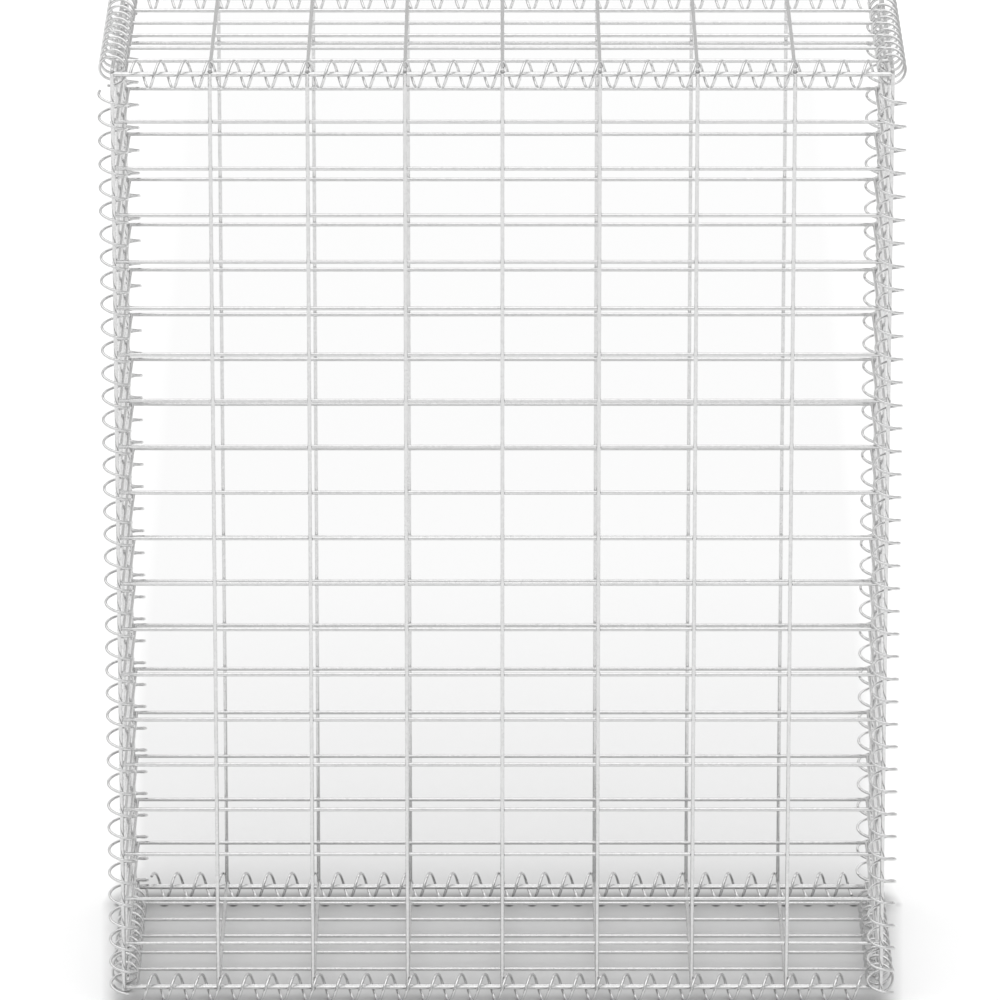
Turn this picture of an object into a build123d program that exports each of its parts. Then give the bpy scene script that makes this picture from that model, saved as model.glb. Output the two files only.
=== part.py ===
"""Wire gabion basket, empty, with its lid laced shut.

Six flat panels of welded mesh make a box, and a left-handed steel spiral laces each of its twelve
edges. Millimetres, +Z up, front at -Y, origin on the ground under the middle of the basket.
"""
import math
import os

from build123d import *

# Basket, measured between the middles of its edge wires
length = 800.0
depth = 300.0
height = 1000.0

# Welded mesh
cell_wide = 100.0
cell_tall = 50.0
wire_d = 4.0
panel_play = 0.2

# Lacing spirals
coil_wire = 3.0
coil_bore = 25.0
coil_pitch = 25.0
coil_play = 0.1

# Sides of a mesh wire, and steps in one turn of a spiral
wire_sides = 8
turn_steps = 8

# Mesh rows and columns, closed up so that a wire lies on every edge
columns_long = round(length / cell_wide)
columns_deep = round(depth / cell_wide)
rows_deep = columns_deep * round(cell_wide / cell_tall)
rows_high = round(height / cell_tall)

# The walls and lid have their close-set wires inside and their wide-set wires outside, and the base
# has its wide-set wires on top. The lid, base and sides fit between the front and the back, and the
# sides stand on the base's wide-set wires
wire_r = wire_d / 2
face_inner = depth / 2 + wire_d + panel_play
side_inner = length / 2 - wire_d
side_set_in = 2 * wire_d + panel_play

# Spiral steps, with their flats on the true bore and outside diameter
coil_in = coil_bore / 2
coil_out = coil_in + coil_wire
coil_r = (coil_in + coil_out) / 2
half_step = 180 / turn_steps
flat_share = math.tan(math.radians(half_step))
corner_share = 1 / math.cos(math.radians(half_step))

# The basket stands on the spirals along its bottom edges
foot = coil_out
middle = foot + height / 2
crown = foot + height
edge_x = length / 2


def mesh_sheet(width, columns, rise, rows, set_in):
    """Weld one flat panel, centred on its inner wires, with its outer wires towards +Z.

    Its first and last inner wires are set in from the edge.
    """
    spots = [rise * (row / rows - 1 / 2) for row in range(rows + 1)]
    spots[0] += set_in
    spots[-1] -= set_in
    reach = rise - 2 * set_in
    inner_start = Plane(origin=(-width / 2 - wire_r, 0, 0), x_dir=(0, 1, 0), z_dir=(1, 0, 0))
    outer_start = Plane(origin=(0, -reach / 2 - wire_r, wire_d), x_dir=(1, 0, 0), z_dir=(0, 1, 0))
    with BuildPart() as sheet:
        with BuildSketch(inner_start):
            with Locations(*[(spot, 0) for spot in spots]):
                RegularPolygon(wire_r, wire_sides, major_radius=False, rotation=180 / wire_sides)
        extrude(amount=width + wire_d)
        with BuildSketch(outer_start):
            with GridLocations(width / columns, 0, columns + 1, 1):
                RegularPolygon(wire_r, wire_sides, major_radius=False, rotation=180 / wire_sides)
        extrude(amount=reach + wire_d)
    return sheet.part


def fitted_pitch(cell):
    """Return the turn length nearest to the stock pitch that divides a mesh cell evenly."""
    return cell / round(cell / coil_pitch)


def axial_width(pitch):
    """Return the width of the spiral's wire along its axis, at the slope of the turns."""
    return coil_wire * math.hypot(1, pitch / (2 * math.pi * coil_r))


def corner_room(cell):
    """Return how far from a corner a spiral stops to let another one past."""
    return coil_out + axial_width(fitted_pitch(cell)) / 2 + panel_play


def spiral(run, cell, lean, lift, start_room, end_room):
    """Wind one left-handed spiral up +Z, with the middle of its edge wires at the origin.

    It rests on a wire that runs along +Y, which lies `lean` along X from the axis and `lift`
    above the origin, and passes clear of the wires that run along +X.
    """
    pitch = fitted_pitch(cell)
    step_rise = pitch / turn_steps
    wire_flat = wire_r * math.tan(math.radians(180 / wire_sides))
    touch_r = coil_out if lean > wire_flat else coil_in
    slope_share = step_rise / (2 * touch_r * flat_share)
    hold = wire_r + axial_width(pitch) / 2 + coil_play - slope_share * (lean - wire_flat)
    lead = lift + hold + step_rise * (turn_steps / 4 - 1 / 2)
    first = math.ceil((start_room - lead) / step_rise)
    last = math.floor((run - end_room - lead) / step_rise)
    with BuildPart() as coil:
        for step in range(first, last + 1):
            spoke = Vector(1, 0, 0).rotate(Axis.Z, half_step * (1 - 2 * step))
            centre = spoke * (coil_r * corner_share) + Vector(0, 0, lead + step_rise * step)
            with BuildSketch(Plane(origin=centre, x_dir=spoke, z_dir=spoke.cross(Vector(0, 0, 1)))):
                Rectangle(coil_wire * corner_share, axial_width(pitch))
        loft(ruled=True)
    return coil.part


def place(label, stock, plane):
    """Set a copy of a panel or spiral on its own side or edge and write it."""
    with BuildPart() as piece:
        with Locations(plane):
            add(stock)
    piece.part.label = label
    export_step(piece.part, f"parts/{label}.step")


os.makedirs("parts", exist_ok=True)

# Panels
face_sheet = mesh_sheet(length, columns_long, height, rows_high, 0)
side_sheet = mesh_sheet(depth, columns_deep, height, rows_high, side_set_in)
flat_sheet = mesh_sheet(length, columns_long, depth, rows_deep, 0)
place("front_panel", face_sheet, Plane((0, -face_inner, middle), (1, 0, 0), (0, -1, 0)))
place("back_panel", face_sheet, Plane((0, face_inner, middle), (-1, 0, 0), (0, 1, 0)))
place("left_panel", side_sheet, Plane((-side_inner, 0, middle), (0, -1, 0), (-1, 0, 0)))
place("right_panel", side_sheet, Plane((side_inner, 0, middle), (0, 1, 0), (1, 0, 0)))
place("lid_panel", flat_sheet, Plane((0, 0, crown), (1, 0, 0), (0, 0, 1)))
place("base_panel", flat_sheet, Plane((0, 0, foot), (1, 0, 0), (0, 0, 1)))

# Upright spirals, cut short at the top. They rest on the sides' lowest wires and end just below
# the corner
cell_high = height / rows_high
room_high = corner_room(cell_high)
outer_run = spiral(height, cell_high, wire_d, side_set_in, -wire_d, room_high)
inner_run = spiral(height, cell_high, -wire_d, side_set_in, -wire_d, room_high)
place("spiral_front_left", outer_run, Plane((-edge_x, -face_inner, foot), (1, 0, 0), (0, 0, 1)))
place("spiral_front_right", inner_run, Plane((edge_x, -face_inner, foot), (1, 0, 0), (0, 0, 1)))
place("spiral_back_right", outer_run, Plane((edge_x, face_inner, foot), (-1, 0, 0), (0, 0, 1)))
place("spiral_back_left", inner_run, Plane((-edge_x, face_inner, foot), (-1, 0, 0), (0, 0, 1)))

# Long spirals, cut short at both ends
cell_long = length / columns_long
room_long = corner_room(cell_long)
long_run = spiral(length, cell_long, -wire_d, 0, room_long, room_long)
place("spiral_top_front", long_run, Plane((-edge_x, -face_inner, crown), (0, 0, -1), (1, 0, 0)))
place("spiral_top_back", long_run, Plane((-edge_x, face_inner, crown), (0, -1, 0), (1, 0, 0)))
place("spiral_bottom_front", long_run, Plane((-edge_x, -face_inner, foot), (0, 1, 0), (1, 0, 0)))
place("spiral_bottom_back", long_run, Plane((edge_x, face_inner, foot), (0, -1, 0), (-1, 0, 0)))

# Short spirals, from corner to corner along the lid and cut short along the base
cell_deep = depth / rows_deep
room_deep = axial_width(fitted_pitch(cell_deep)) / 2
room_low = corner_room(cell_deep)
lid_run = spiral(depth, cell_deep, 0, 0, room_deep, room_deep)
base_run = spiral(depth, cell_deep, 0, 0, room_low, room_low)
edge_y = -depth / 2
place("spiral_top_left", lid_run, Plane((-edge_x, edge_y, crown), (1, 0, 0), (0, 1, 0)))
place("spiral_top_right", lid_run, Plane((edge_x, edge_y, crown), (0, 0, -1), (0, 1, 0)))
place("spiral_bottom_left", base_run, Plane((-edge_x, edge_y, foot), (0, 0, 1), (0, 1, 0)))
place("spiral_bottom_right", base_run, Plane((edge_x, edge_y, foot), (-1, 0, 0), (0, 1, 0)))
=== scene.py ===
"""Looks of an empty wire gabion basket: galvanised mesh panels laced along every edge by spirals.

Metres, +Z up, front at -Y, origin on the ground under the middle of the basket.
"""
import logging
import math
from dataclasses import dataclass, field
from enum import Enum
from typing import Mapping, Sequence, Union

import bpy
from mathutils import Matrix, Vector


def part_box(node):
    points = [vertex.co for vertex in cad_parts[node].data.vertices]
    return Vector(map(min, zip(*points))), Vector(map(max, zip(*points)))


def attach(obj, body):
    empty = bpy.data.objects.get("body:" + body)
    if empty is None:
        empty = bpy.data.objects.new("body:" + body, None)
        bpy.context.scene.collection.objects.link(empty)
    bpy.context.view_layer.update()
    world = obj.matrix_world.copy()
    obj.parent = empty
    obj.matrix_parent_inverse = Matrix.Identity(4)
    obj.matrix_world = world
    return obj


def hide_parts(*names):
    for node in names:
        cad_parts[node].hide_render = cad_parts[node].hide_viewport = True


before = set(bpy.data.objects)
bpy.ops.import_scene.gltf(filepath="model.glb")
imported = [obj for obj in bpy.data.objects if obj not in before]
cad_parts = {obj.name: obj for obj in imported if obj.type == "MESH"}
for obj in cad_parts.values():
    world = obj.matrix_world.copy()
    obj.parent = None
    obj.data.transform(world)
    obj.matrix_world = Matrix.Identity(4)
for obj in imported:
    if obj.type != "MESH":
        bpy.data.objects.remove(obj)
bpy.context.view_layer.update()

BODY = "root"
WELD_MARK = "weld_heat"
MM = 1000

log = logging.getLogger("basket")

Triple = tuple[float, float, float]
Feed = Union[bpy.types.NodeSocket, bpy.types.Material, float, int, bool, str, Sequence[float]]


class Hand(Enum):
    """Which way a spiral winds, as the Reverse input of the spiral node takes it."""

    LEFT = False
    RIGHT = True


class Slot(Enum):
    """The record's material slots."""

    MESH = "mesh_wire"
    SPIRAL = "spiral_wire"


class Nodes:
    """Adds nodes to one tree and feeds their sockets.

    A mix or random node has its sockets for numbers and for colours at the places given here.
    """

    NUMBER_LOW = 2
    NUMBER_HIGH = 3
    RANDOM_NUMBER = 1
    COLOUR_LOW = 6
    COLOUR_HIGH = 7
    MIXED_COLOUR = 2

    def __init__(self, tree: bpy.types.NodeTree) -> None:
        """Keep the tree that the nodes go into."""
        self.tree = tree

    def add(self, kind: str, feeds: Mapping[Union[str, int], Feed], **settings: object) -> bpy.types.Node:
        """Add one node.

        Args:
            kind: Type name of the node.
            feeds: A socket to link from, or a plain value, for each input by its name or place.
            settings: Properties of the node, set before its inputs.

        Returns:
            The new node.
        """
        node = self.tree.nodes.new(kind)
        for title, value in settings.items():
            setattr(node, title, value)
        for key, value in feeds.items():
            if isinstance(value, bpy.types.NodeSocket):
                self.tree.links.new(value, node.inputs[key])
            else:
                node.inputs[key].default_value = value
        return node

    def math(
        self, operation: str, first: Feed, second: Feed = 0.0, third: Feed = 0.0
    ) -> bpy.types.NodeSocket:
        """Add one math node.

        Args:
            operation: Name of the operation.
            first: First operand.
            second: Second operand.
            third: Third operand.

        Returns:
            The socket of the result.
        """
        node = self.add("ShaderNodeMath", {0: first, 1: second, 2: third}, operation=operation)
        return node.outputs[0]

    def vector(self, x: Feed = 0.0, y: Feed = 0.0, z: Feed = 0.0) -> bpy.types.NodeSocket:
        """Join three values.

        Args:
            x: First part.
            y: Second part.
            z: Third part.

        Returns:
            The socket of the vector.
        """
        return self.add("ShaderNodeCombineXYZ", {0: x, 1: y, 2: z}).outputs[0]

    def blend(self, mask: Feed, low: Feed, high: Feed) -> bpy.types.NodeSocket:
        """Mix two colours.

        Args:
            mask: How much of the second colour shows.
            low: First colour.
            high: Second colour.

        Returns:
            The socket of the mixed colour.
        """
        feeds = {0: mask, self.COLOUR_LOW: low, self.COLOUR_HIGH: high}
        return self.add("ShaderNodeMix", feeds, data_type="RGBA").outputs[self.MIXED_COLOUR]

    def spread(
        self, value: Feed, low: Feed, high: Feed, to_low: Feed, to_high: Feed
    ) -> bpy.types.NodeSocket:
        """Map a range of values to another one, held at its ends.

        Args:
            value: Value to map.
            low: Start of its range.
            high: End of its range.
            to_low: Result at the start.
            to_high: Result at the end.

        Returns:
            The socket of the mapped value.
        """
        node = self.add("ShaderNodeMapRange", {0: value, 1: low, 2: high, 3: to_low, 4: to_high}, clamp=True)
        return node.outputs[0]


@dataclass(frozen=True)
class Fade:
    """A value that changes evenly between two places and holds beyond them."""

    start: float
    end: float
    at_start: float
    at_end: float

    def along(self, nodes: Nodes, place: Feed) -> bpy.types.NodeSocket:
        """Return the socket of the value at a place."""
        return nodes.spread(place, self.start, self.end, self.at_start, self.at_end)


def grey_paint(level: float) -> tuple[float, float, float, float]:
    """Return a neutral colour of one brightness."""
    return (level, level, level, 1.0)


def add_sockets(tree: bpy.types.NodeTree, inputs: Mapping[str, str], outputs: Mapping[str, str]) -> None:
    """Name the inputs and outputs of a tree.

    Args:
        tree: Tree that gets them.
        inputs: Socket type of each input by its name.
        outputs: Socket type of each output by its name.
    """
    for title, kind in inputs.items():
        tree.interface.new_socket(name=title, in_out="INPUT", socket_type=kind)
    for title, kind in outputs.items():
        tree.interface.new_socket(name=title, in_out="OUTPUT", socket_type=kind)


def shaped_piece(
    name: str, tree: bpy.types.NodeTree, values: Mapping[str, Feed], place: Matrix
) -> bpy.types.Object:
    """Run a Geometry Nodes tree once and keep what it makes as a plain mesh.

    Args:
        name: Name of the piece.
        tree: Tree to run.
        values: Value of each of its inputs by name.
        place: Where the mesh goes.

    Returns:
        The piece, with its object at the origin.
    """
    piece = bpy.data.objects.new(name, bpy.data.meshes.new(name + "_start"))
    bpy.context.scene.collection.objects.link(piece)
    modifier = piece.modifiers.new("shape", "NODES")
    modifier.node_group = tree
    sockets = [item for item in tree.interface.items_tree if item.item_type == "SOCKET"]
    identifiers = {item.name: item.identifier for item in sockets if item.in_out == "INPUT"}
    for title, value in values.items():
        modifier[identifiers[title]] = value
    graph = bpy.context.evaluated_depsgraph_get()
    made = piece.evaluated_get(graph)
    shaped = bpy.data.meshes.new_from_object(made, preserve_all_data_layers=True, depsgraph=graph)
    piece.modifiers.remove(modifier)
    start = piece.data
    piece.data = shaped
    bpy.data.meshes.remove(start)
    shaped.name = name
    shaped.transform(place)
    shaped.update()
    return piece


@dataclass(frozen=True)
class WireStock:
    """The stock that every basket is made of."""

    mesh_wire: float = 0.004
    coil_wire: float = 0.003
    coil_bore: float = 0.025
    coil_pitch: float = 0.025
    panel_play: float = 0.0002
    coil_play: float = 0.0001
    coil_steps: int = 8
    wire_sides: int = 8

    @property
    def coil_radius(self) -> float:
        """Radius of a spiral at the middle of its wire."""
        return (self.coil_bore + self.coil_wire) / 2

    @property
    def coil_out(self) -> float:
        """Outside radius of a spiral."""
        return self.coil_radius + self.coil_wire / 2

    def pitch(self, cell: float) -> float:
        """Return the turn length nearest to the stock pitch that divides a mesh cell evenly."""
        return cell / round(cell / self.coil_pitch)

    def axial_width(self, cell: float) -> float:
        """Return the width of the spiral's wire along its axis."""
        return self.coil_wire * math.hypot(1, self.pitch(cell) / (2 * math.pi * self.coil_radius))

    def corner_room(self, cell: float) -> float:
        """Return how far from a corner a spiral stops to let another one past."""
        return self.coil_out + self.axial_width(cell) / 2 + self.panel_play


@dataclass(frozen=True)
class Seat:
    """Where a panel or spiral is set in the basket."""

    origin: Triple
    across: Triple
    along: Triple

    def matrix(self) -> Matrix:
        """Turn the place into a matrix.

        Returns:
            The matrix, with X across and Z along.
        """
        across = Vector(self.across)
        along = Vector(self.along)
        turn = Matrix((across, along.cross(across), along)).transposed()
        return Matrix.Translation(Vector(self.origin)) @ turn.to_4x4()


class MeshTree:
    """Geometry Nodes that weld one flat panel out of cut wires."""

    INPUTS = {
        "Width": "NodeSocketFloat",
        "Rise": "NodeSocketFloat",
        "Set In": "NodeSocketFloat",
        "Columns": "NodeSocketInt",
        "Rows": "NodeSocketInt",
        "Wire": "NodeSocketFloat",
        "Sides": "NodeSocketInt",
        "Cut Bevel": "NodeSocketFloat",
        "Weld Reach": "NodeSocketFloat",
        "Seed": "NodeSocketInt",
        "Finish": "NodeSocketMaterial",
    }
    CRISP_FOLD = 0.5
    SAME_INDEX = 0.5
    BEVEL_CUTS = 2
    SHAFT_SHARE = 0.9
    TIP_SHARE = 0.9999
    BEAD_SEGMENTS = 8
    BEAD_RINGS = 5
    BEAD_SMALLEST = 0.85
    BEAD_LARGEST = 1.12
    BEAD_DEEP_SHARE = 0.88
    BEAD_THICK_SHARE = 0.42

    def __init__(self) -> None:
        """Build the tree."""
        self.tree = bpy.data.node_groups.new("welded_mesh", "GeometryNodeTree")
        self.tree.is_modifier = True
        add_sockets(self.tree, self.INPUTS, {"Panel": "NodeSocketGeometry"})
        self.nodes = Nodes(self.tree)
        self.given = self.nodes.add("NodeGroupInput", {}).outputs
        self.index = self.nodes.add("GeometryNodeInputIndex", {}).outputs[0]
        self.radius = self.nodes.math("DIVIDE", self.given["Wire"], 2.0)
        inner = self.inner_line()
        outer = self.outer_line()
        reach = self.nodes.math("MULTIPLY_ADD", self.given["Set In"], -2.0, self.given["Rise"])
        inner_wires = self.wires(inner, self.given["Width"], (0.0, math.pi / 2, 0.0))
        outer_wires = self.wires(outer, reach, (math.pi / 2, 0.0, 0.0))
        welds = self.welds(inner, outer)
        joined = self.nodes.add("GeometryNodeJoinGeometry", {})
        for part in (welds, outer_wires, inner_wires):
            self.tree.links.new(part, joined.inputs[0])
        plain = self.nodes.add("GeometryNodeRealizeInstances", {0: joined.outputs[0]})
        dressed = self.nodes.add("GeometryNodeSetMaterial", {
            0: plain.outputs[0],
            "Material": self.given["Finish"],
        })
        self.nodes.add("NodeGroupOutput", {0: dressed.outputs[0]})

    def inner_line(self) -> bpy.types.NodeSocket:
        """Line up the close-set wires, the first and last set in.

        Returns:
            The socket of one point for each wire.
        """
        nodes = self.nodes
        low = nodes.math("DIVIDE", self.given["Rise"], -2.0)
        step = nodes.math("DIVIDE", self.given["Rise"], self.given["Rows"])
        line = nodes.add("GeometryNodeMeshLine", {
            "Count": nodes.math("ADD", self.given["Rows"], 1.0),
            "Start Location": nodes.vector(y=low),
            "Offset": nodes.vector(y=step),
        })
        is_first = nodes.math("COMPARE", self.index, 0.0, self.SAME_INDEX)
        is_last = nodes.math("COMPARE", self.index, self.given["Rows"], self.SAME_INDEX)
        inward = nodes.math("MULTIPLY", nodes.math("SUBTRACT", is_first, is_last), self.given["Set In"])
        moved = nodes.add("GeometryNodeSetPosition", {0: line.outputs[0], "Offset": nodes.vector(y=inward)})
        return moved.outputs[0]

    def outer_line(self) -> bpy.types.NodeSocket:
        """Line up the wide-set wires, a wire's thickness further out.

        Returns:
            The socket of one point for each wire.
        """
        nodes = self.nodes
        low = nodes.math("DIVIDE", self.given["Width"], -2.0)
        step = nodes.math("DIVIDE", self.given["Width"], self.given["Columns"])
        line = nodes.add("GeometryNodeMeshLine", {
            "Count": nodes.math("ADD", self.given["Columns"], 1.0),
            "Start Location": nodes.vector(x=low, z=self.given["Wire"]),
            "Offset": nodes.vector(x=step),
        })
        return line.outputs[0]

    def wires(
        self, line: bpy.types.NodeSocket, span: bpy.types.NodeSocket, turn: Triple
    ) -> bpy.types.NodeSocket:
        """Lay a cut wire with bevelled ends on every point of a line.

        Args:
            line: Points to lay the wires on.
            span: Distance between the outermost wires that they cross.
            turn: Rotation from standing up to lying along the panel.

        Returns:
            The socket of the laid wires.
        """
        nodes = self.nodes
        half = nodes.math("MULTIPLY_ADD", span, 0.5, self.radius)
        path = nodes.add("GeometryNodeCurvePrimitiveLine", {
            "Start": nodes.vector(z=nodes.math("MULTIPLY", half, -1.0)),
            "End": nodes.vector(z=half),
        })
        cut = nodes.add("GeometryNodeSubdivideCurve", {0: path.outputs[0], "Cuts": self.BEVEL_CUTS})
        bevel_at = nodes.math("SUBTRACT", half, self.given["Cut Bevel"])
        position = nodes.add("GeometryNodeInputPosition", {}).outputs[0]
        height = nodes.add("ShaderNodeSeparateXYZ", {0: position}).outputs[2]
        distance = nodes.math("ABSOLUTE", height)
        inside = nodes.math("LESS_THAN", distance, nodes.math("MULTIPLY", half, self.SHAFT_SHARE))
        spot = nodes.math("MULTIPLY", nodes.math("SIGN", height), bevel_at)
        moved = nodes.add("GeometryNodeSetPosition", {
            0: cut.outputs[0],
            "Selection": inside,
            "Position": nodes.vector(z=spot),
        })
        end_share = nodes.math("SUBTRACT", 1.0, nodes.math("DIVIDE", self.given["Cut Bevel"], self.radius))
        is_end = nodes.math("GREATER_THAN", distance, nodes.math("MULTIPLY", half, self.TIP_SHARE))
        share = nodes.add("ShaderNodeMix", {
            0: is_end,
            nodes.NUMBER_LOW: 1.0,
            nodes.NUMBER_HIGH: end_share,
        }, data_type="FLOAT").outputs[0]
        ring = nodes.add("GeometryNodeCurvePrimitiveCircle", {
            "Resolution": self.given["Sides"],
            "Radius": self.radius,
        })
        tube = nodes.add("GeometryNodeCurveToMesh", {
            "Curve": moved.outputs[0],
            "Profile Curve": ring.outputs[0],
            "Scale": share,
            "Fill Caps": True,
        })
        fold = nodes.add("GeometryNodeInputMeshEdgeAngle", {}).outputs["Unsigned Angle"]
        crisp = nodes.add("GeometryNodeSetShadeSmooth", {
            0: tube.outputs[0],
            "Selection": nodes.math("GREATER_THAN", fold, self.CRISP_FOLD),
            "Shade Smooth": False,
        }, domain="EDGE")
        laid = nodes.add("GeometryNodeInstanceOnPoints", {
            "Points": line,
            "Instance": crisp.outputs[0],
            "Rotation": turn,
        })
        return laid.outputs[0]

    def welds(self, inner: bpy.types.NodeSocket, outer: bpy.types.NodeSocket) -> bpy.types.NodeSocket:
        """Put a small upset weld where each two wires cross.

        Args:
            inner: Points of the close-set wires.
            outer: Points of the wide-set wires.

        Returns:
            The socket of the welds.
        """
        nodes = self.nodes
        grid = nodes.add("GeometryNodeInstanceOnPoints", {"Points": outer, "Instance": inner})
        spots = nodes.add("GeometryNodeRealizeInstances", {0: grid.outputs[0]})
        drop = nodes.vector(z=nodes.math("MULTIPLY", self.radius, -1.0))
        level = nodes.add("GeometryNodeSetPosition", {0: spots.outputs[0], "Offset": drop})
        bead = nodes.add("GeometryNodeMeshUVSphere", {
            "Segments": self.BEAD_SEGMENTS,
            "Rings": self.BEAD_RINGS,
            "Radius": self.given["Weld Reach"],
        })
        smooth = nodes.add("GeometryNodeSetShadeSmooth", {0: bead.outputs[0]})
        marked = nodes.add("GeometryNodeStoreNamedAttribute", {
            0: smooth.outputs[0],
            "Name": WELD_MARK,
            "Value": 1.0,
        }, data_type="FLOAT", domain="POINT")
        turn = nodes.add("FunctionNodeRandomValue", {
            nodes.NUMBER_LOW: 0.0,
            nodes.NUMBER_HIGH: math.tau,
            "Seed": self.given["Seed"],
        }, data_type="FLOAT").outputs[nodes.RANDOM_NUMBER]
        width = nodes.add("FunctionNodeRandomValue", {
            nodes.NUMBER_LOW: self.BEAD_SMALLEST,
            nodes.NUMBER_HIGH: self.BEAD_LARGEST,
            "Seed": nodes.math("ADD", self.given["Seed"], 1.0),
        }, data_type="FLOAT").outputs[nodes.RANDOM_NUMBER]
        deep = nodes.math("MULTIPLY", width, self.BEAD_DEEP_SHARE)
        placed = nodes.add("GeometryNodeInstanceOnPoints", {
            "Points": level.outputs[0],
            "Instance": marked.outputs[0],
            "Rotation": nodes.vector(z=turn),
            "Scale": nodes.vector(width, deep, self.BEAD_THICK_SHARE),
        })
        return placed.outputs[0]


class SpiralTree:
    """Geometry Nodes that wind one lacing spiral."""

    INPUTS = {
        "Radius": "NodeSocketFloat",
        "Pitch": "NodeSocketFloat",
        "Turns": "NodeSocketFloat",
        "Start Angle": "NodeSocketFloat",
        "Start Rise": "NodeSocketFloat",
        "Right Hand": "NodeSocketBool",
        "Wire": "NodeSocketFloat",
        "Points In Turn": "NodeSocketInt",
        "Sides": "NodeSocketInt",
        "Finish": "NodeSocketMaterial",
    }

    def __init__(self) -> None:
        """Build the tree."""
        self.tree = bpy.data.node_groups.new("lacing_spiral", "GeometryNodeTree")
        self.tree.is_modifier = True
        add_sockets(self.tree, self.INPUTS, {"Spiral": "NodeSocketGeometry"})
        nodes = Nodes(self.tree)
        given = nodes.add("NodeGroupInput", {}).outputs
        coil = nodes.add("GeometryNodeCurveSpiral", {
            "Resolution": given["Points In Turn"],
            "Rotations": given["Turns"],
            "Start Radius": given["Radius"],
            "End Radius": given["Radius"],
            "Height": nodes.math("MULTIPLY", given["Pitch"], given["Turns"]),
            "Reverse": given["Right Hand"],
        })
        set_up = nodes.add("GeometryNodeTransform", {
            0: coil.outputs[0],
            "Translation": nodes.vector(z=given["Start Rise"]),
            "Rotation": nodes.vector(z=given["Start Angle"]),
        })
        radius = nodes.math("DIVIDE", given["Wire"], 2.0)
        ring = nodes.add("GeometryNodeCurvePrimitiveCircle", {"Resolution": given["Sides"], "Radius": radius})
        tube = nodes.add("GeometryNodeCurveToMesh", {
            "Curve": set_up.outputs[0],
            "Profile Curve": ring.outputs[0],
            "Fill Caps": True,
        })
        plain = nodes.add("GeometryNodeRealizeInstances", {0: tube.outputs[0]})
        dressed = nodes.add("GeometryNodeSetMaterial", {0: plain.outputs[0], "Material": given["Finish"]})
        nodes.add("NodeGroupOutput", {0: dressed.outputs[0]})


class SpangleGroup:
    """Shader nodes for the crystals of a zinc coat and the fine grain of drawn wire under it."""

    GRAIN_DETAIL = 3.0
    GRAIN_ROUGHNESS = 0.6
    GRAIN_SHADE_SHARE = 0.4
    CRYSTAL_SHADE_SHARE = 0.6
    HEIGHT_SHARE = 0.5

    def __init__(self) -> None:
        """Build the group."""
        self.tree = bpy.data.node_groups.new("zinc_spangle", "ShaderNodeTree")
        add_sockets(
            self.tree,
            {
                "Vector": "NodeSocketVector",
                "Crystal Scale": "NodeSocketFloat",
                "Grain Scale": "NodeSocketFloat",
            },
            {"Shade": "NodeSocketFloat", "Height": "NodeSocketFloat"},
        )
        nodes = Nodes(self.tree)
        given = nodes.add("NodeGroupInput", {}).outputs
        crystals = nodes.add("ShaderNodeTexVoronoi", {
            "Vector": given["Vector"],
            "Scale": given["Crystal Scale"],
            "Randomness": 1.0,
        })
        tone = nodes.add("ShaderNodeSeparateColor", {0: crystals.outputs["Color"]}).outputs[0]
        grain = nodes.add("ShaderNodeTexNoise", {
            "Vector": given["Vector"],
            "Scale": given["Grain Scale"],
            "Detail": self.GRAIN_DETAIL,
            "Roughness": self.GRAIN_ROUGHNESS,
        }).outputs[0]
        crystal_shade = nodes.math("MULTIPLY", tone, self.CRYSTAL_SHADE_SHARE)
        shade = nodes.math("MULTIPLY_ADD", grain, self.GRAIN_SHADE_SHARE, crystal_shade)
        grain_height = nodes.math("MULTIPLY", grain, self.HEIGHT_SHARE)
        height = nodes.math("MULTIPLY_ADD", tone, self.HEIGHT_SHARE, grain_height)
        nodes.add("NodeGroupOutput", {"Shade": shade, "Height": height})


class BloomGroup:
    """Shader nodes for the dull pale bloom and the drips that weather leaves on zinc."""

    PATCH_DETAIL = 4.0
    PATCH_ROUGHNESS = 0.55
    PATCH_FADE = Fade(0.42, 0.68, 0.0, 1.0)
    DRIP_STRETCH = (1.0, 1.0, 0.12)
    DRIP_SCALE_SHARE = 3.0
    DRIP_DETAIL = 2.0
    DRIP_FADE = Fade(0.5, 0.75, 0.0, 1.0)

    def __init__(self) -> None:
        """Build the group."""
        self.tree = bpy.data.node_groups.new("zinc_bloom", "ShaderNodeTree")
        add_sockets(
            self.tree,
            {"Vector": "NodeSocketVector", "Patch Scale": "NodeSocketFloat", "Amount": "NodeSocketFloat"},
            {"Bloom": "NodeSocketFloat", "Soil": "NodeSocketFloat"},
        )
        nodes = Nodes(self.tree)
        given = nodes.add("NodeGroupInput", {}).outputs
        patch = nodes.add("ShaderNodeTexNoise", {
            "Vector": given["Vector"],
            "Scale": given["Patch Scale"],
            "Detail": self.PATCH_DETAIL,
            "Roughness": self.PATCH_ROUGHNESS,
        }).outputs[0]
        bloom = nodes.math("MULTIPLY", self.PATCH_FADE.along(nodes, patch), given["Amount"])
        stretched = nodes.add("ShaderNodeMapping", {"Vector": given["Vector"], "Scale": self.DRIP_STRETCH})
        drip = nodes.add("ShaderNodeTexNoise", {
            "Vector": stretched.outputs[0],
            "Scale": nodes.math("MULTIPLY", given["Patch Scale"], self.DRIP_SCALE_SHARE),
            "Detail": self.DRIP_DETAIL,
        }).outputs[0]
        soil = nodes.math("MULTIPLY", self.DRIP_FADE.along(nodes, drip), given["Amount"])
        nodes.add("NodeGroupOutput", {"Bloom": bloom, "Soil": soil})


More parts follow.
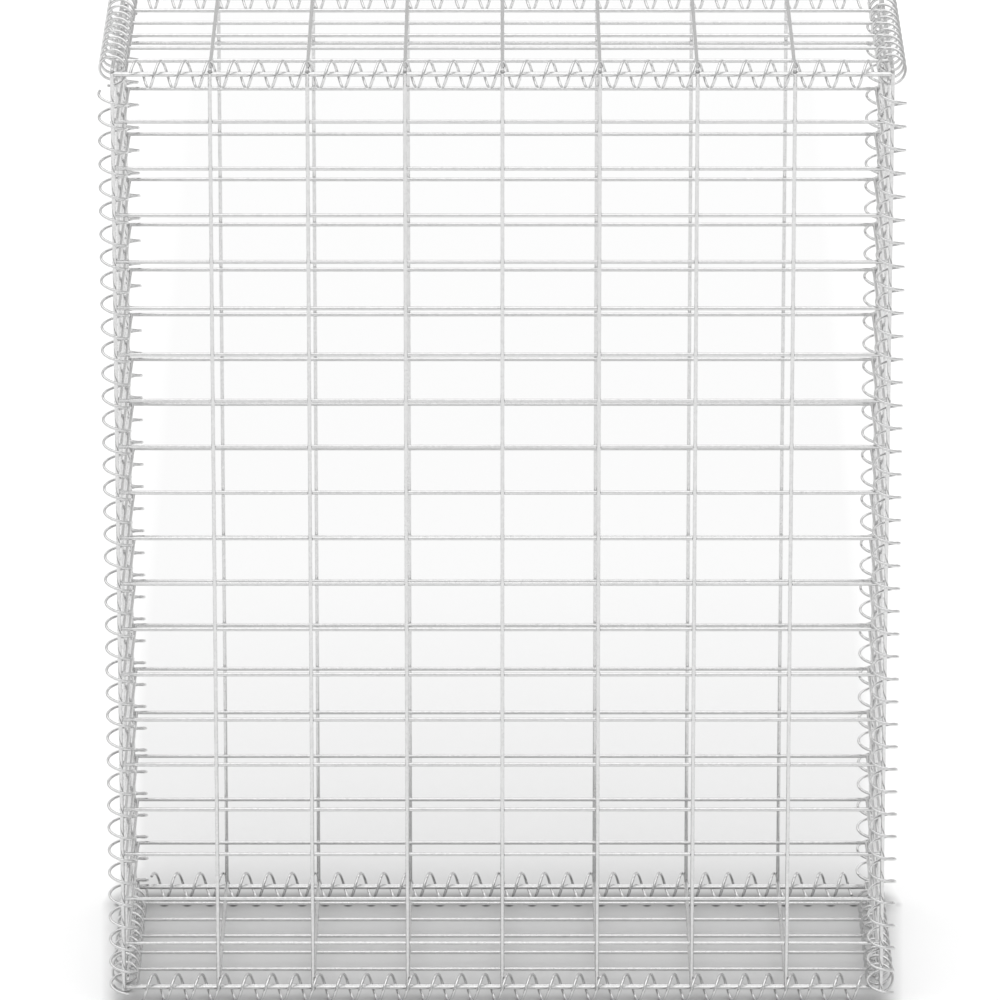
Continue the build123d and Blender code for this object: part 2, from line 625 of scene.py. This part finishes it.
@dataclass(frozen=True)
class ZincFinish:
    """A galvanised finish on drawn steel wire."""

    slot: Slot
    bright: Triple
    dark: Triple
    pale: Triple
    scorched: Triple
    crystal_scale: float
    grain_scale: float
    patch_scale: float
    bloom: float
    smooth: float
    rough: float
    bump: float
    bump_depth: float = 0.0003
    tone: Fade = Fade(0.2, 0.75, 0.0, 1.0)
    weld_scorch: float = 0.75
    weld_dull: float = 0.7
    soil: float = 0.2
    dullness: float = 0.25
    crystal_gloss: float = -0.3

    def material(self, spangle: SpangleGroup, weather: BloomGroup) -> bpy.types.Material:
        """Make the finish.

        Args:
            spangle: Group for the crystals and grain.
            weather: Group for bloom and drips.

        Returns:
            The material, named after its slot.
        """
        material = bpy.data.materials.new(self.slot.value + "_zinc")
        material.use_nodes = True
        material.node_tree.nodes.clear()
        nodes = Nodes(material.node_tree)
        spot = nodes.add("ShaderNodeTexCoord", {}).outputs["Object"]
        crystals = nodes.add("ShaderNodeGroup", {}, node_tree=spangle.tree)
        blooms = nodes.add("ShaderNodeGroup", {}, node_tree=weather.tree)
        for group in (crystals, blooms):
            material.node_tree.links.new(spot, group.inputs["Vector"])
        crystals.inputs["Crystal Scale"].default_value = self.crystal_scale
        crystals.inputs["Grain Scale"].default_value = self.grain_scale
        blooms.inputs["Patch Scale"].default_value = self.patch_scale
        blooms.inputs["Amount"].default_value = self.bloom
        shade = crystals.outputs["Shade"]
        weld = nodes.add("ShaderNodeAttribute", {}, attribute_name=WELD_MARK).outputs["Fac"]
        colour = nodes.blend(self.tone.along(nodes, shade), (*self.dark, 1.0), (*self.bright, 1.0))
        colour = nodes.blend(blooms.outputs["Bloom"], colour, (*self.pale, 1.0))
        scorch = nodes.math("MULTIPLY", weld, self.weld_scorch)
        soil = nodes.math("MULTIPLY", blooms.outputs["Soil"], self.soil)
        colour = nodes.blend(nodes.math("MAXIMUM", scorch, soil), colour, (*self.scorched, 1.0))
        dulled = nodes.math("MAXIMUM", nodes.math("MULTIPLY", weld, self.weld_dull), blooms.outputs["Bloom"])
        dulled = nodes.math("ADD", dulled, self.dullness)
        grained = nodes.math("MULTIPLY_ADD", shade, self.crystal_gloss, dulled)
        roughness = nodes.spread(grained, 0.0, 1.0, self.smooth, self.rough)
        bump = nodes.add("ShaderNodeBump", {
            "Strength": self.bump,
            "Distance": self.bump_depth,
            "Height": crystals.outputs["Height"],
        })
        shader = nodes.add("ShaderNodeBsdfPrincipled", {
            "Base Color": colour,
            "Metallic": 1.0,
            "Roughness": roughness,
            "Normal": bump.outputs[0],
        })
        nodes.add("ShaderNodeOutputMaterial", {"Surface": shader.outputs[0]})
        return material


@dataclass
class MeshPanel:
    """One flat panel of welded mesh."""

    node: str
    seat: Seat
    stock: WireStock
    width: float
    columns: int
    rise: float
    rows: int
    set_in: float = 0.0
    sides: int = 16
    cut_bevel: float = 0.0005
    weld_reach: float = 0.0027

    def build(self, tree: MeshTree, finish: bpy.types.Material, seed: int) -> bpy.types.Object:
        """Weld the panel.

        Args:
            tree: Geometry Nodes of the panels.
            finish: Material of the wires.
            seed: Seed for the small differences between welds.

        Returns:
            The panel in its place.
        """
        values = {
            "Width": self.width,
            "Rise": self.rise,
            "Set In": self.set_in,
            "Columns": self.columns,
            "Rows": self.rows,
            "Wire": self.stock.mesh_wire,
            "Sides": self.sides,
            "Cut Bevel": self.cut_bevel,
            "Weld Reach": self.weld_reach,
            "Seed": seed,
            "Finish": finish,
        }
        return shaped_piece("laid_" + self.node, tree.tree, values, self.seat.matrix())

    def dress(self, piece: bpy.types.Object) -> None:
        """Let the panel stand for its solid."""
        stand_for(piece, self.node)


@dataclass
class LacingSpiral:
    """One spiral that laces an edge, turn by turn."""

    node: str
    seat: Seat
    stock: WireStock
    run: float
    cell: float
    lean: float
    lift: float
    start_room: float
    end_room: float
    hand: Hand = Hand.LEFT
    points_in_turn: int = 32
    sides: int = 10

    def step_range(self) -> tuple[float, float, int, int]:
        """Find where the spiral starts and ends.

        Returns:
            The rise of step 0, the rise of one step, and the first and last step.
        """
        stock = self.stock
        half_step = math.pi / stock.coil_steps
        step_rise = stock.pitch(self.cell) / stock.coil_steps
        wire_r = stock.mesh_wire / 2
        wire_flat = wire_r * math.tan(math.pi / stock.wire_sides)
        touch_r = stock.coil_out if self.lean > wire_flat else stock.coil_bore / 2
        slope = step_rise / (2 * touch_r * math.tan(half_step))
        hold = wire_r + stock.axial_width(self.cell) / 2 + stock.coil_play - slope * (self.lean - wire_flat)
        lead = self.lift + hold + step_rise * (stock.coil_steps / 4 - 1 / 2)
        first = math.ceil((self.start_room - lead) / step_rise)
        last = math.floor((self.run - self.end_room - lead) / step_rise)
        return lead, step_rise, first, last

    def build(self, tree: SpiralTree, finish: bpy.types.Material) -> bpy.types.Object:
        """Wind the spiral.

        Args:
            tree: Geometry Nodes of the spirals.
            finish: Material of the wire.

        Returns:
            The spiral in its place.
        """
        lead, step_rise, first, last = self.step_range()
        half_step = math.pi / self.stock.coil_steps
        values = {
            "Radius": self.stock.coil_radius,
            "Pitch": self.stock.pitch(self.cell),
            "Turns": (last - first) / self.stock.coil_steps,
            "Start Angle": half_step * (1 - 2 * first),
            "Start Rise": lead + step_rise * first,
            "Right Hand": self.hand.value,
            "Wire": self.stock.coil_wire,
            "Points In Turn": self.points_in_turn,
            "Sides": self.sides,
            "Finish": finish,
        }
        return shaped_piece("wound_" + self.node, tree.tree, values, self.seat.matrix())

    def dress(self, piece: bpy.types.Object) -> None:
        """Let the spiral stand for its solid."""
        stand_for(piece, self.node)


def stand_for(piece: bpy.types.Object, node: str) -> None:
    """Let a piece ride with the basket in place of one of its solids.

    Args:
        piece: Finished piece.
        node: Solid that it stands for.
    """
    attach(piece, BODY)
    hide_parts(node)
    low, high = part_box(node)
    spots = [vertex.co for vertex in piece.data.vertices]
    past = max(max(spot[axis] - high[axis], low[axis] - spot[axis]) for spot in spots for axis in range(3))
    log.info("%s: %d faces, %.2f mm past its solid", piece.name, len(piece.data.polygons), past * MM)


@dataclass
class Basket:
    """The whole basket: six panels and the spirals that lace its twelve edges."""

    stock: WireStock = field(default_factory=WireStock)
    length: float = 0.8
    depth: float = 0.3
    height: float = 1.0
    columns_long: int = 8
    columns_deep: int = 3
    rows_deep: int = 6
    rows_high: int = 20
    seed_step: int = 10

    @property
    def foot(self) -> float:
        """Level of the lowest wires."""
        return self.stock.coil_out

    @property
    def crown(self) -> float:
        """Level of the lid's wires."""
        return self.foot + self.height

    @property
    def face_y(self) -> float:
        """Distance of the front and back from the middle."""
        return self.depth / 2 + self.stock.mesh_wire + self.stock.panel_play

    @property
    def side_set_in(self) -> float:
        """Distance of the outermost close-set wires of the sides from the edge."""
        return 2 * self.stock.mesh_wire + self.stock.panel_play

    def panels(self) -> list[MeshPanel]:
        """Set each panel on its own side.

        Returns:
            The six panels.
        """
        stock = self.stock
        middle = self.foot + self.height / 2
        side_x = self.length / 2 - stock.mesh_wire
        face = (stock, self.length, self.columns_long, self.height, self.rows_high)
        side = (stock, self.depth, self.columns_deep, self.height, self.rows_high, self.side_set_in)
        flat = (stock, self.length, self.columns_long, self.depth, self.rows_deep)
        return [
            MeshPanel("front_panel", Seat((0, -self.face_y, middle), (1, 0, 0), (0, -1, 0)), *face),
            MeshPanel("back_panel", Seat((0, self.face_y, middle), (-1, 0, 0), (0, 1, 0)), *face),
            MeshPanel("left_panel", Seat((-side_x, 0, middle), (0, -1, 0), (-1, 0, 0)), *side),
            MeshPanel("right_panel", Seat((side_x, 0, middle), (0, 1, 0), (1, 0, 0)), *side),
            MeshPanel("lid_panel", Seat((0, 0, self.crown), (1, 0, 0), (0, 0, 1)), *flat),
            MeshPanel("base_panel", Seat((0, 0, self.foot), (1, 0, 0), (0, 0, 1)), *flat),
        ]

    def uprights(self) -> list[LacingSpiral]:
        """Set the spirals of the upright edges, cut short below the lid.

        Returns:
            The four spirals.
        """
        stock = self.stock
        cell = self.height / self.rows_high
        room = stock.corner_room(cell)
        wire = stock.mesh_wire
        outer = (stock, self.height, cell, wire, self.side_set_in, -wire, room)
        inner = (stock, self.height, cell, -wire, self.side_set_in, -wire, room)
        x, y, z = self.length / 2, self.face_y, self.foot
        return [
            LacingSpiral("spiral_front_left", Seat((-x, -y, z), (1, 0, 0), (0, 0, 1)), *outer),
            LacingSpiral("spiral_front_right", Seat((x, -y, z), (1, 0, 0), (0, 0, 1)), *inner),
            LacingSpiral("spiral_back_right", Seat((x, y, z), (-1, 0, 0), (0, 0, 1)), *outer),
            LacingSpiral("spiral_back_left", Seat((-x, y, z), (-1, 0, 0), (0, 0, 1)), *inner),
        ]

    def long_spirals(self) -> list[LacingSpiral]:
        """Set the spirals along the front and back of the lid and base, cut short at both ends.

        Returns:
            The four spirals.
        """
        stock = self.stock
        cell = self.length / self.columns_long
        room = stock.corner_room(cell)
        run = (stock, self.length, cell, -stock.mesh_wire, 0.0, room, room)
        x, y = self.length / 2, self.face_y
        return [
            LacingSpiral("spiral_top_front", Seat((-x, -y, self.crown), (0, 0, -1), (1, 0, 0)), *run),
            LacingSpiral("spiral_top_back", Seat((-x, y, self.crown), (0, -1, 0), (1, 0, 0)), *run),
            LacingSpiral("spiral_bottom_front", Seat((-x, -y, self.foot), (0, 1, 0), (1, 0, 0)), *run),
            LacingSpiral("spiral_bottom_back", Seat((x, y, self.foot), (0, -1, 0), (-1, 0, 0)), *run),
        ]

    def short_spirals(self) -> list[LacingSpiral]:
        """Set the spirals along the sides, from corner to corner on the lid and cut short on the base.

        Returns:
            The four spirals.
        """
        stock = self.stock
        cell = self.depth / self.rows_deep
        end = stock.axial_width(cell) / 2
        room = stock.corner_room(cell)
        lid = (stock, self.depth, cell, 0.0, 0.0, end, end)
        base = (stock, self.depth, cell, 0.0, 0.0, room, room)
        x, y = self.length / 2, -self.depth / 2
        return [
            LacingSpiral("spiral_top_left", Seat((-x, y, self.crown), (1, 0, 0), (0, 1, 0)), *lid),
            LacingSpiral("spiral_top_right", Seat((x, y, self.crown), (0, 0, -1), (0, 1, 0)), *lid),
            LacingSpiral("spiral_bottom_left", Seat((-x, y, self.foot), (0, 0, 1), (0, 1, 0)), *base),
            LacingSpiral("spiral_bottom_right", Seat((x, y, self.foot), (-1, 0, 0), (0, 1, 0)), *base),
        ]

    def build(self, mesh_zinc: bpy.types.Material, spiral_zinc: bpy.types.Material) -> None:
        """Make and dress every piece.

        Args:
            mesh_zinc: Finish of the panels.
            spiral_zinc: Finish of the spirals.
        """
        mesh_tree = MeshTree()
        for seed, panel in enumerate(self.panels(), start=1):
            panel.dress(panel.build(mesh_tree, mesh_zinc, seed * self.seed_step))
        spiral_tree = SpiralTree()
        for spiral in self.uprights() + self.long_spirals() + self.short_spirals():
            spiral.dress(spiral.build(spiral_tree, spiral_zinc))


@dataclass(frozen=True)
class ShadowedFloorPaint:
    """White floor paint with a painted soft shadow where the basket stands, by metres on the floor."""

    white: float = 0.97
    # Brightness of the painted shadow under and behind the basket.
    shadow_grey: float = 0.62
    # Brightness of the painted contact shadow along the bottom front and back spirals.
    contact_shadow_grey: float = 0.3
    # Brightness of the painted contact shadow under each turn of the back spiral.
    spot_shadow_grey: float = 0.03
    roughness: float = 0.9
    widening: float = 0.042
    tuck: Fade = Fade(0.14, 0.26, 0.0, 0.025)
    full_width: Fade = Fade(0.7, 4.0, 0.406, 0.3)
    end_width: float = 0.431
    # Where the painted shadow starts in front, thins past the back and fades out far behind.
    before: Fade = Fade(-0.19, -0.15, 0.0, 1.0)
    under: Fade = Fade(0.165, 0.28, 1.0, 0.62)
    behind: Fade = Fade(0.28, 1.3, 1.0, 0.66)
    beyond: Fade = Fade(1.6, 16.0, 1.0, 0.0)
    # Painted contact shadow bands on the floor under the bottom front and back spirals.
    back_contact_shadow: Fade = Fade(0.105, 0.155, 0.0, 0.8)
    front_contact_shadow: Fade = Fade(-0.13, -0.19, 0.0, 0.8)
    beneath: Fade = Fade(0.16, 0.18, 1.0, 0.0)
    # Place and size of the painted contact shadows under the back spiral's turns.
    turn_pitch: float = 0.025
    touch_x: float = 0.0073
    touch_y: float = 0.138
    spot_long: float = 0.006
    spot_deep: float = 0.009

    def patch(self, nodes: Nodes, x: Feed, y: Feed) -> bpy.types.NodeSocket:
        """Mask the painted shadow, as wide as the basket, that fades away behind it.

        Args:
            nodes: Nodes of the paint.
            x: Place across the floor.
            y: Place from front to back.

        Returns:
            The socket of the mask.
        """
        aside = nodes.math("MULTIPLY_ADD", y, -self.widening, nodes.math("ABSOLUTE", x))
        aside = nodes.math("ADD", aside, self.tuck.along(nodes, y))
        mask = nodes.spread(aside, self.full_width.along(nodes, y), self.end_width, 1.0, 0.0)
        for fade in (self.before, self.under, self.behind, self.beyond):
            mask = nodes.math("MULTIPLY", mask, fade.along(nodes, y))
        return mask

    def spots(self, nodes: Nodes, x: Feed, y: Feed) -> bpy.types.NodeSocket:
        """Mask the painted contact shadows where the turns of the back spiral touch the floor.

        Args:
            nodes: Nodes of the paint.
            x: Place across the floor.
            y: Place from front to back.

        Returns:
            The socket of the mask.
        """
        half = self.turn_pitch / 2
        along = nodes.math("WRAP", nodes.math("SUBTRACT", x, self.touch_x), half, -half)
        across = nodes.math("SUBTRACT", y, self.touch_y)
        wide = nodes.math("POWER", nodes.math("ABSOLUTE", nodes.math("DIVIDE", along, self.spot_long)), 2.0)
        deep = nodes.math("POWER", nodes.math("ABSOLUTE", nodes.math("DIVIDE", across, self.spot_deep)), 2.0)
        return nodes.spread(nodes.math("ADD", wide, deep), 0.0, 1.0, 1.0, 0.0)

    def material(self) -> bpy.types.Material:
        """Make the paint.

        Returns:
            The material of the floor.
        """
        material = bpy.data.materials.new("studio_floor_shadow_paint")
        material.use_nodes = True
        material.node_tree.nodes.clear()
        nodes = Nodes(material.node_tree)
        spot = nodes.add("ShaderNodeTexCoord", {}).outputs["Object"]
        place = nodes.add("ShaderNodeSeparateXYZ", {0: spot}).outputs
        x, y = place["X"], place["Y"]
        # Painted contact shadow: darker bands on the floor along the bottom front and back spirals.
        edges = nodes.math("MAXIMUM", self.back_contact_shadow.along(nodes, y), self.front_contact_shadow.along(nodes, y))
        edges = nodes.math("MULTIPLY", edges, self.beneath.along(nodes, y))
        shaded = nodes.blend(edges, grey_paint(self.shadow_grey), grey_paint(self.contact_shadow_grey))
        # Painted contact shadows where the back spiral's turns touch the floor.
        shaded = nodes.blend(self.spots(nodes, x, y), shaded, grey_paint(self.spot_shadow_grey))
        # Lay the painted shadow over the white floor.
        colour = nodes.blend(self.patch(nodes, x, y), grey_paint(self.white), shaded)
        shader = nodes.add("ShaderNodeBsdfPrincipled", {
            "Base Color": colour,
            "Roughness": self.roughness,
            "Specular IOR Level": 0.0,
        })
        nodes.add("ShaderNodeOutputMaterial", {"Surface": shader.outputs[0]})
        return material


@dataclass
class Studio:
    """Floor, light and camera."""

    eye: Triple = (-0.0025, -9.402, 3.557)
    tilt_down: float = 17.971
    lens: float = 336.6
    sensor: float = 36.0
    view_limit: float = 200.0
    floor_size: float = 60.0
    paint: ShadowedFloorPaint = ShadowedFloorPaint()
    sky_low: Fade = Fade(0.1, 0.9, 0.45, 0.6)
    sky_rise: Fade = Fade(0.0, 0.5, 0.0, 1.0)
    sky_high: float = 0.8
    key: float = 1.25
    key_spread: float = 90.0
    key_tilt: Triple = (6.0, -4.0, 0.0)

    def floor(self) -> None:
        """Lay the painted floor, with its painted shadow of the basket."""
        half = self.floor_size / 2
        corners = [(-half, -half, 0.0), (half, -half, 0.0), (half, half, 0.0), (-half, half, 0.0)]
        mesh = bpy.data.meshes.new("studio_floor")
        mesh.from_pydata(corners, [], [(0, 1, 2, 3)])
        mesh.materials.append(self.paint.material())
        floor = bpy.data.objects.new("studio_floor", mesh)
        bpy.context.scene.collection.objects.link(floor)

    def light(self) -> None:
        """Light the studio from a pale sky, brightest overhead and then behind, and one soft lamp."""
        scene = bpy.context.scene
        world = bpy.data.worlds.new("studio_sky")
        world.use_nodes = True
        world.node_tree.nodes.clear()
        nodes = Nodes(world.node_tree)
        direction = nodes.add("ShaderNodeTexCoord", {}).outputs["Generated"]
        parts = nodes.add("ShaderNodeSeparateXYZ", {0: direction}).outputs
        low = self.sky_low.along(nodes, parts["Y"])
        rise = self.sky_rise.along(nodes, parts["Z"])
        strength = nodes.math("MULTIPLY_ADD", rise, nodes.math("SUBTRACT", self.sky_high, low), low)
        sky = nodes.add("ShaderNodeBackground", {"Color": grey_paint(1.0), "Strength": strength})
        nodes.add("ShaderNodeOutputWorld", {"Surface": sky.outputs[0]})
        scene.world = world
        lamp = bpy.data.lights.new("studio_key", "SUN")
        lamp.energy = self.key
        lamp.angle = math.radians(self.key_spread)
        key = bpy.data.objects.new("studio_key", lamp)
        key.rotation_euler = [math.radians(angle) for angle in self.key_tilt]
        scene.collection.objects.link(key)
        scene.view_settings.view_transform = "Standard"

    def camera(self) -> None:
        """Set the camera."""
        lens = bpy.data.cameras.new("studio_camera")
        lens.lens = self.lens
        lens.sensor_width = self.sensor
        lens.sensor_fit = "HORIZONTAL"
        lens.clip_end = self.view_limit
        camera = bpy.data.objects.new("studio_camera", lens)
        camera.location = self.eye
        camera.rotation_euler = (math.radians(90 - self.tilt_down), 0, 0)
        bpy.context.scene.collection.objects.link(camera)
        bpy.context.scene.camera = camera

    def build(self) -> None:
        """Make the whole studio."""
        self.floor()
        self.light()
        self.camera()


MESH_ZINC = ZincFinish(
    slot=Slot.MESH,
    bright=(0.69, 0.69, 0.69),
    dark=(0.61, 0.61, 0.61),
    pale=(0.71, 0.71, 0.71),
    scorched=(0.42, 0.42, 0.42),
    crystal_scale=420.0,
    grain_scale=1500.0,
    patch_scale=9.0,
    bloom=0.45,
    smooth=0.15,
    rough=0.30,
    bump=0.05,
)
SPIRAL_ZINC = ZincFinish(
    slot=Slot.SPIRAL,
    bright=(0.69, 0.69, 0.69),
    dark=(0.61, 0.61, 0.61),
    pale=(0.71, 0.71, 0.71),
    scorched=(0.44, 0.44, 0.44),
    crystal_scale=650.0,
    grain_scale=2200.0,
    patch_scale=14.0,
    bloom=0.3,
    smooth=0.12,
    rough=0.25,
    bump=0.04,
)


def main() -> None:
    """Build the basket and its studio."""
    logging.basicConfig(level=logging.INFO, format="%(name)s %(message)s")
    spangle = SpangleGroup()
    weather = BloomGroup()
    Basket().build(MESH_ZINC.material(spangle, weather), SPIRAL_ZINC.material(spangle, weather))
    Studio().build()


if __name__ == "__main__":
    main()
